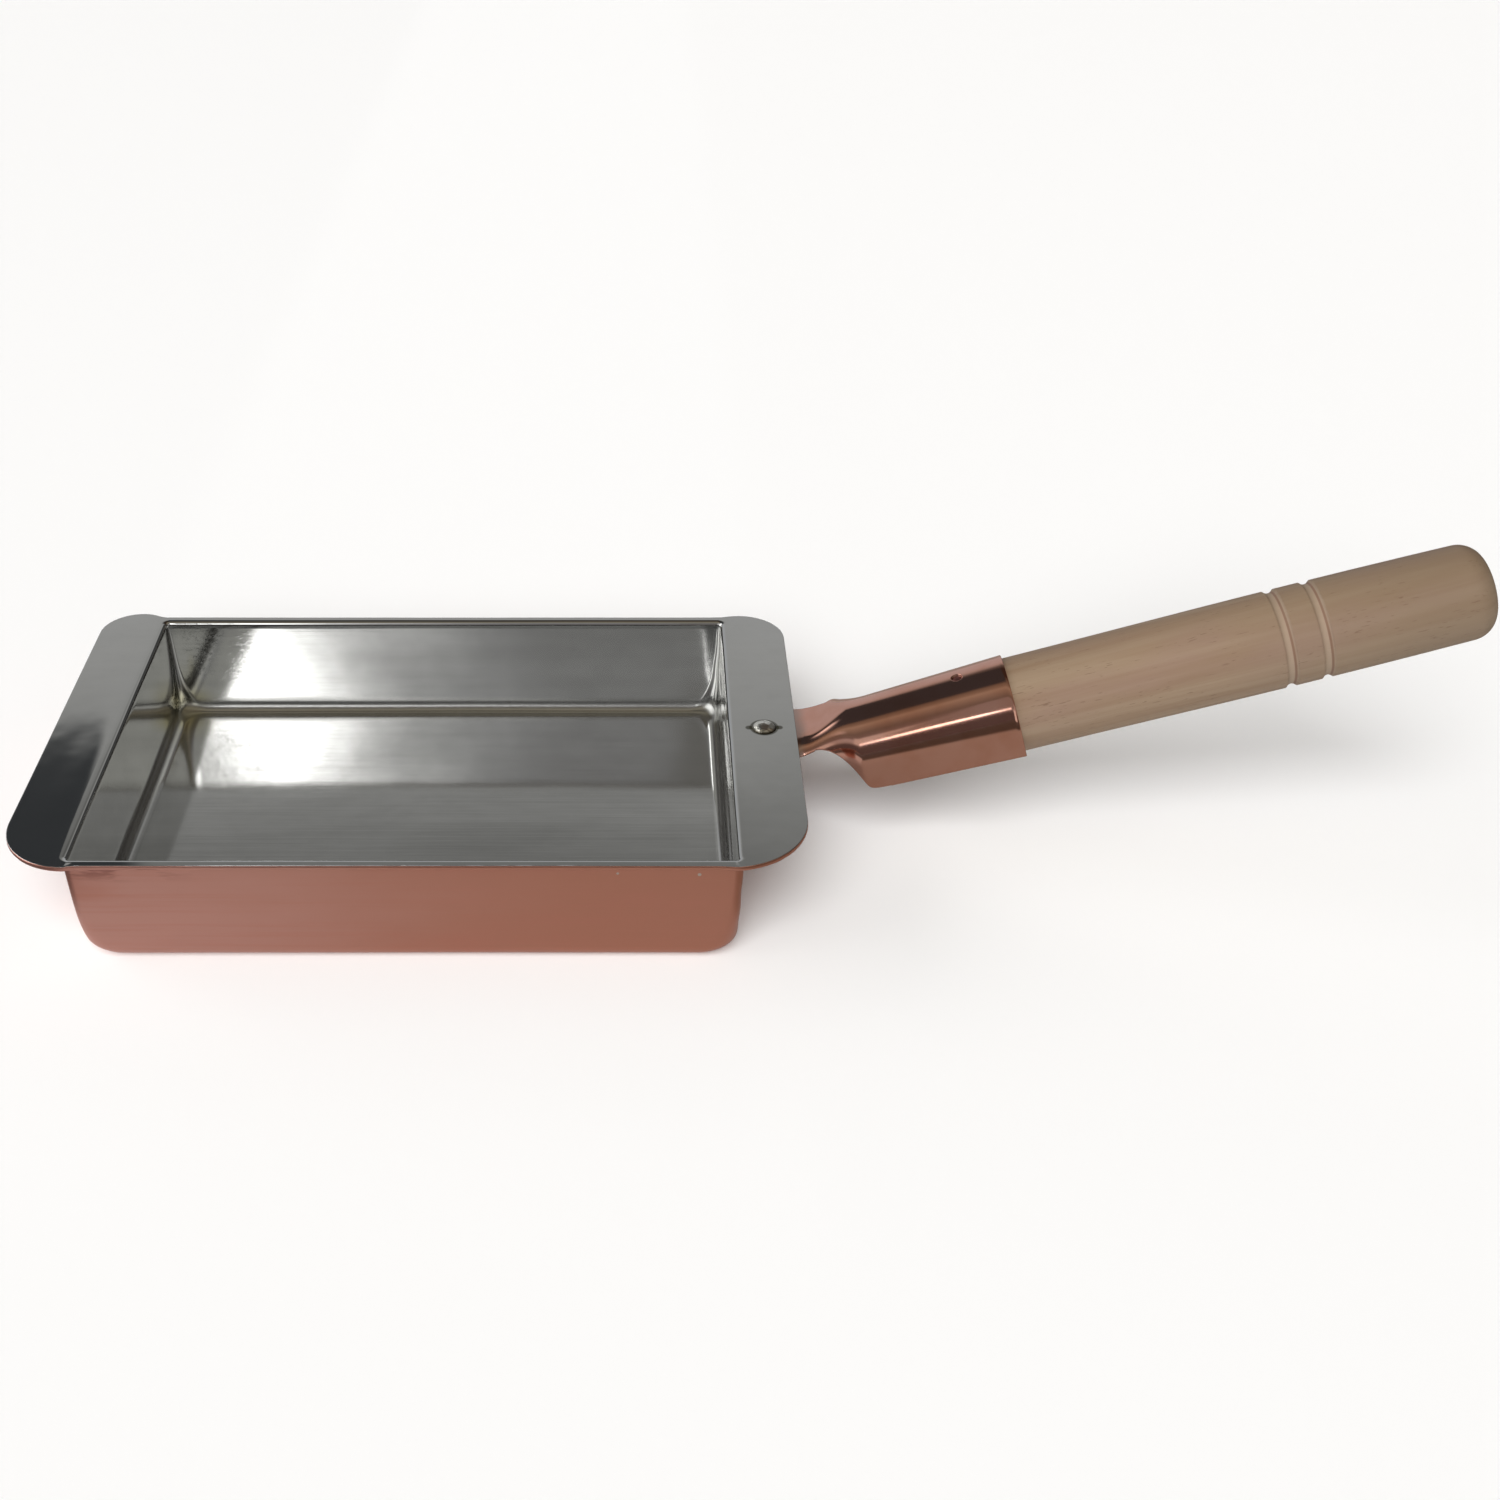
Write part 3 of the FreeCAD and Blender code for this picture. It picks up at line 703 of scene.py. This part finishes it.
solder_grey = (0.50, 0.49, 0.47)
solder_dark = (0.32, 0.31, 0.30)
solder_finish, place = new_finish("solder_film")
grain = place.noise(600.0, 3.0, 0.6)
lay_finish(place, {
    "Base Color": grain.step(0.3, 0.7).blend(solder_grey, solder_dark), "Metallic": 1.0,
    "Roughness": grain * 0.2 + 0.25,
    "Normal": place.node("Bump", {}, {"Strength": 0.5, "Distance": 0.0001, "Height": grain})})
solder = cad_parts["tongue_solder"]
solder.material_slots[0].material = solder_finish

# ---------------------------------------------------------------------------
# The nail: a small copper nail driven through the ferrule's hole into the handle, its head
# sunk a little under the sheet and darkened.

nail_sink = 0.34
nail_shank = 0.8
nail_head = 1.22
# Distance out from the sheet, and radius: the point, the shank, then the head's worn top
nail_profile = [(-9.6, 0.0), (-9.5, 0.12), (-7.7, nail_shank), (-1.2, nail_shank),
                (-1.1, 1.1), (-1.0, nail_head), (-0.62, nail_head), (-0.52, 1.18),
                (-0.44, 1.05), (-0.38, 0.8), (-0.35, 0.45), (-0.345, 0.2), (-nail_sink, 0.0)]
nail = turned("nail", nail_profile, nail_point, nail_out, along, 40)
nail_brown = (0.110, 0.030, 0.022)
nail_dark = (0.040, 0.012, 0.010)
dark_copper, place = new_finish("dark_copper")
grain = place.noise(900.0, 3.0, 0.6)
lay_finish(place, {
    "Base Color": grain.step(0.3, 0.7).blend(nail_brown, nail_dark), "Metallic": 0.3,
    "Roughness": grain * 0.2 + 0.35,
    "Normal": place.node("Bump", {}, {"Strength": 0.5, "Distance": 0.0001, "Height": grain})})
nail.data.materials.append(dark_copper)
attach(nail, "root")
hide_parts("handle_nail")

# ---------------------------------------------------------------------------
# The handle: beech, turned on a lathe and left bare, with two scored rings near its tail and
# a soft rounded end. Its nose is pushed into the ferrule and nailed.

handle_end = 122.5
handle_inside = 36.0
belly_station = 66.0
belly_radius = 12.95
tail_radius = 12.4
tail_rounding = 6.0
nose_chamfer = 1.2
groove_stations = (70.0, 79.3)
groove_half_width = 1.5
groove_depth = 0.8
groove_margin = 0.3
between_grooves = (72.2, 77.2)
past_grooves = 81.5


def wood_radius(station):
    """Radius outside the ferrule: eased swell to the belly, then a fall by the square of the
    distance, with two grooves that are arcs of a circle, and a quarter circle at the tail."""
    start = socket_radius - ferrule_sheet
    swell = start + (belly_radius - start) * ease(station / belly_station)
    share = (station - belly_station) / (handle_end - belly_station)
    radius = np.where(station < belly_station, swell,
                      belly_radius + (tail_radius - belly_radius) * share ** 2)
    arc = (groove_half_width ** 2 + groove_depth ** 2) / (2 * groove_depth)
    for groove in groove_stations:
        off = np.clip(np.abs(station - groove), 0, groove_half_width)
        radius = radius - np.maximum(np.sqrt(arc ** 2 - off ** 2) - arc + groove_depth, 0)
    past = np.clip(station - handle_end + tail_rounding, 0, tail_rounding)
    return radius - tail_rounding + np.sqrt(tail_rounding ** 2 - past ** 2)


taper = (socket_radius - throat_radius) / socket_length
nose_radius = socket_radius - ferrule_sheet - taper * handle_inside
nose = [(-handle_inside, 0.0), (-handle_inside, nose_radius - nose_chamfer - 1),
        (-handle_inside, nose_radius - nose_chamfer),
        (-handle_inside + nose_chamfer, nose_radius + taper * nose_chamfer),
        (-0.2, socket_radius - ferrule_sheet - 0.01)]
groove_reach = groove_half_width + groove_margin
groove_spans = [np.linspace(groove - groove_reach, groove + groove_reach, 29)
                for groove in groove_stations]
tail_turn = np.linspace(0, math.pi / 2, 22)
body_stations = np.concatenate([
    np.linspace(0, 68, 40), groove_spans[0], np.linspace(*between_grooves, 6), groove_spans[1],
    np.linspace(past_grooves, handle_end - tail_rounding - 0.5, 22),
    handle_end - tail_rounding + tail_rounding * np.sin(tail_turn)])
body_radii = wood_radius(body_stations)
face_radii = np.linspace(body_radii[-1], 0, 8)[1:]
tail_face = np.stack([0 * face_radii + handle_end, face_radii], axis=1)
handle_profile = np.concatenate([nose, np.stack([body_stations, body_radii], axis=1), tail_face])
handle = turned("handle", handle_profile, mouth_point, along, upward, 128)

beech_pale = (0.262, 0.190, 0.126)
beech_warm = (0.205, 0.132, 0.080)
beech_pink = (0.235, 0.152, 0.118)
beech_shade = (0.160, 0.115, 0.074)
beech_fleck = (0.130, 0.072, 0.045)
groove_brown = (0.150, 0.070, 0.040)
groove_pale = (0.340, 0.260, 0.190)
beech, place = new_finish("beech")
shifted = place.node("VectorMath", {"operation": "SUBTRACT"},
                     {0: place, 1: tuple(mouth_point * mm)})
lined = shifted.node("VectorRotate", {"rotation_type": "Y_AXIS"},
                     {"Vector": shifted, "Angle": tilt})
station, side, rise = lined.axes()
layers = lined.stretch((7, 120, 260)).noise(1.0, 5.0, 0.6, 0.4)
fibres = lined.stretch((45, 1500, 1500)).noise(1.0, 4.0, 0.7)
patches = lined.stretch((18, 60, 60)).noise(1.0, 3.0, 0.5)
flecks = lined.stretch((330, 3200, 2600)).noise(1.0, 1.5, 0.5)
fleck_areas = lined.stretch((70, 200, 200)).noise(1.0, 2.0, 0.5)
tone = layers.step(0.30, 0.72).blend(beech_pale, beech_warm)
tone = (patches.step(0.45, 0.75) * 0.6).blend(tone, beech_pink)
tone = (fibres.step(0.45, 0.85) * 0.25).blend(tone, beech_warm)
# Painted shade: the wood is darker towards the tail.
tone = (station.step(0.03, 0.125) * 0.55).blend(tone, beech_shade)
marks = flecks.step(0.64, 0.70) * fleck_areas.step(0.42, 0.58)
tone = (marks * 0.65).blend(tone, beech_fleck)
burnt_line = 0.0007
for groove in groove_stations:
    off = station - (groove * mm)
    pale = (1 - off.absolute().step(0.0006, 0.0017)) * 0.6
    burn_and_pit_shade = (1 - (off - burnt_line).absolute().step(0.00012, 0.00042)) * 0.75
    tone = pale.blend(tone, groove_pale)
    tone = burn_and_pit_shade.blend(tone, groove_brown)
lay_finish(place, {
    "Base Color": tone, "Roughness": fibres * 0.15 + 0.48,
    "Normal": place.node("Bump", {}, {"Strength": 0.35, "Distance": 0.00012,
                                      "Height": fibres * 0.6 + layers * 0.4 - marks * 0.5})})
handle.data.materials.append(beech)
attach(handle, "root")
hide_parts("wooden_handle")

# ---------------------------------------------------------------------------
# The floor: a pale sheet that the pan stands on.

floor_reach = 6.0
floor_mesh = bpy.data.meshes.new("floor")
floor_mesh.from_pydata([(-floor_reach, -floor_reach, 0), (floor_reach, -floor_reach, 0),
                        (floor_reach, floor_reach, 0), (-floor_reach, floor_reach, 0)],
                       [], [(0, 1, 2, 3)])
floor = bpy.data.objects.new("floor", floor_mesh)
bpy.context.scene.collection.objects.link(floor)
pale_floor, place = new_finish("pale_floor")
lay_finish(place, {"Base Color": (0.97, 0.97, 0.97, 1.0), "Roughness": 0.9})
floor_mesh.materials.append(pale_floor)
floor.visible_glossy = False
floor.visible_shadow = False

# A grey card on the floor, which only the metal's reflections see. It darkens in front and at
# the left, and a darker patch by the handle is a painted shadow of the handle.
card_mesh = floor_mesh.copy()
card_mesh.materials.clear()
above_floor = 0.00002
card_mesh.transform(mathutils.Matrix.Translation((0, 0, above_floor)))
card = bpy.data.objects.new("grey_card", card_mesh)
bpy.context.scene.collection.objects.link(card)
grey_card, place = new_finish("grey_card")
x, y, z = place.axes()
tone = y.step(-0.18, -0.10).blend((0.06, 0.055, 0.055), (0.50, 0.50, 0.50))
# Painted shadow of the handle: the card is darker on the right, under the ferrule.
painted_handle_shadow = y.step(-0.128, -0.092).blend((0.06, 0.05, 0.04), (0.33, 0.30, 0.27))
tone = x.step(0.088, 0.104).blend(tone, painted_handle_shadow)
tone = x.step(-0.112, -0.094).blend((0.12, 0.11, 0.11), tone)
lay_finish(place, {"Base Color": tone, "Roughness": 0.9})
card_mesh.materials.append(grey_card)

# A flag in front of the ferrule, also seen only in reflections. It keeps all but the foot of
# the window off the ferrule, and so leaves one thin bright line along it.
flag_mesh = bpy.data.meshes.new("flag")
flag_left, flag_right, flag_y, flag_low, flag_top = 0.075, 0.230, -0.15, 0.1146, 0.230
flag_mesh.from_pydata([(flag_left, flag_y, flag_low), (flag_right, flag_y, flag_low),
                       (flag_right, flag_y, flag_top), (flag_left, flag_y, flag_top)],
                      [], [(0, 1, 2, 3)])
flag = bpy.data.objects.new("flag", flag_mesh)
bpy.context.scene.collection.objects.link(flag)
flag_grey, place = new_finish("flag_grey")
lay_finish(place, {"Base Color": (0.0, 0.0, 0.0, 1.0), "Roughness": 1.0,
                   "Specular IOR Level": 0.0, "Emission Color": (0.27, 0.26, 0.25, 1.0),
                   "Emission Strength": 1.0})
flag_mesh.materials.append(flag_grey)
for board in (card, flag):
    for sight in ("visible_camera", "visible_diffuse", "visible_shadow"):
        setattr(board, sight, False)

# ---------------------------------------------------------------------------
# The light: an even, wide lamp from above, and a room that the metal reflects. It is pale
# ahead, dim overhead and warm behind the camera, with one soft window in the wall behind.
# Directions in it are turns from ahead or from behind, and heights, in degrees.

room = bpy.data.worlds.new("room")
bpy.context.scene.world = room
room.use_nodes = True
room.node_tree.nodes.clear()
way = Port(room.node_tree).node("TexCoord", {}, {}, 0)
x, y, z = way.axes()
height = z.math("ARCSINE", z) * (180 / math.pi)
behind = (0.0 - y).step(-0.02, 0.02)
below_beam = 1 - height.step(37.5, 39.5)
overhead = z.math("ARCTAN2", z.math("MAXIMUM", z, 0.0), y) / math.pi
overhead_colours = [(0.00, (0.50, 0.51, 0.53)), (0.14, (0.49, 0.50, 0.52)),
                    (0.17, (0.45, 0.45, 0.445)), (0.19, (0.38, 0.38, 0.375)),
                    (0.205, (0.25, 0.25, 0.245)), (0.228, (0.125, 0.125, 0.12)),
                    (0.28, (0.045, 0.033, 0.026)), (0.42, (0.048, 0.030, 0.021)),
                    (0.55, (0.24, 0.21, 0.16)), (0.58, (0.36, 0.33, 0.26)),
                    (0.61, (0.30, 0.27, 0.215)), (0.70, (0.17, 0.155, 0.13)),
                    (0.77, (0.20, 0.18, 0.17)), (0.80, (0.42, 0.42, 0.43)),
                    (0.85, (0.38, 0.38, 0.38)), (0.90, (0.10, 0.085, 0.085))]
glow = overhead.node("ValToRGB", {"stops": overhead_colours}, {"Fac": overhead})
turn_far = x.math("ARCTAN2", x, y) * (180 / math.pi)
dark_side = turn_far.step(15.0, 19.0) * (1 - turn_far.step(112.0, 125.0))
glow = (dark_side * (1 - height.step(25.0, 31.0))).blend(glow, (0.07, 0.07, 0.07))
dim_left = (1 - turn_far.step(-19.6, -18.4)) * height.step(31.5, 32.5) * y.step(-0.05, 0.05)
glow = dim_left.blend(glow, (0.045, 0.048, 0.052))
left_panel = turn_far.step(-125.0, -112.0) * (1 - turn_far.step(-62.0, -50.0))
glow = (left_panel * (1 - height.step(38.0, 48.0))).blend(glow, (2.0, 2.0, 2.0))
turn_near = x.math("ARCTAN2", 0.0 - x, 0.0 - y) * (180 / math.pi)
window_colours = [(0.00, (0.06, 0.06, 0.06)), (0.175, (0.06, 0.06, 0.062)),
                  (0.285, (0.08, 0.08, 0.082)), (0.355, (0.105, 0.105, 0.107)),
                  (0.43, (0.14, 0.14, 0.142)), (0.495, (0.19, 0.19, 0.193)),
                  (0.535, (0.25, 0.25, 0.253)), (0.565, (0.34, 0.34, 0.344)),
                  (0.63, (0.68, 0.68, 0.69)), (0.80, (0.80, 0.80, 0.81))]
window_span, window_strength = 20.0, 6.5
window_glow = turn_near.node("ValToRGB", {"stops": window_colours},
                             {"Fac": turn_near / window_span})
window_glow = window_glow.node("VectorMath", {"operation": "SCALE"},
                               {0: window_glow, "Scale": window_strength})
right_wall = turn_near.step(-34.0, -26.0) * (1 - turn_near.step(-13.0, -8.0)) * behind
glow = (right_wall * below_beam).blend(glow, (0.78, 0.78, 0.76))
beside = turn_near.step(16.8, 17.8) * (1 - turn_near.step(30.0, 36.0)) * behind
glow = (beside * height.step(20.5, 23.0) * below_beam).blend(glow, (0.58, 0.58, 0.56))
window = turn_near.step(3.0, 5.0) * (1 - turn_near.step(15.6, 16.3)) * behind
glow = (window * height.step(21.5, 25.0) * below_beam).blend(glow, window_glow)
sky = way.node("Background", {}, {"Color": glow, "Strength": 1.0})
way.node("OutputWorld", {}, {"Surface": sky})

lamp_data = bpy.data.lights.new("wide_lamp", "SUN")
lamp_data.energy = 3.0
lamp_data.angle = math.radians(50)
lamp = bpy.data.objects.new("wide_lamp", lamp_data)
lamp.rotation_euler = (math.radians(44), math.radians(-10), 0)
lamp.visible_glossy = False
bpy.context.scene.collection.objects.link(lamp)

# ---------------------------------------------------------------------------
# The camera, above the pan and in front of it, to the right of the tray's middle.

camera_data = bpy.data.cameras.new("camera")
looking_down = math.radians(34.05)
camera_data.sensor_width = 36.0
camera_data.lens = 43.65
camera_data.shift_x = 0.0764
camera_data.clip_start = 0.01
camera_data.clip_end = 50.0
camera = bpy.data.objects.new("camera", camera_data)
camera.location = (0.0565, -0.4077, 0.3002)
camera.rotation_euler = (math.pi / 2 - looking_down, 0, 0)
bpy.context.scene.collection.objects.link(camera)
bpy.context.scene.camera = camera
bpy.context.scene.view_settings.view_transform = "Standard"
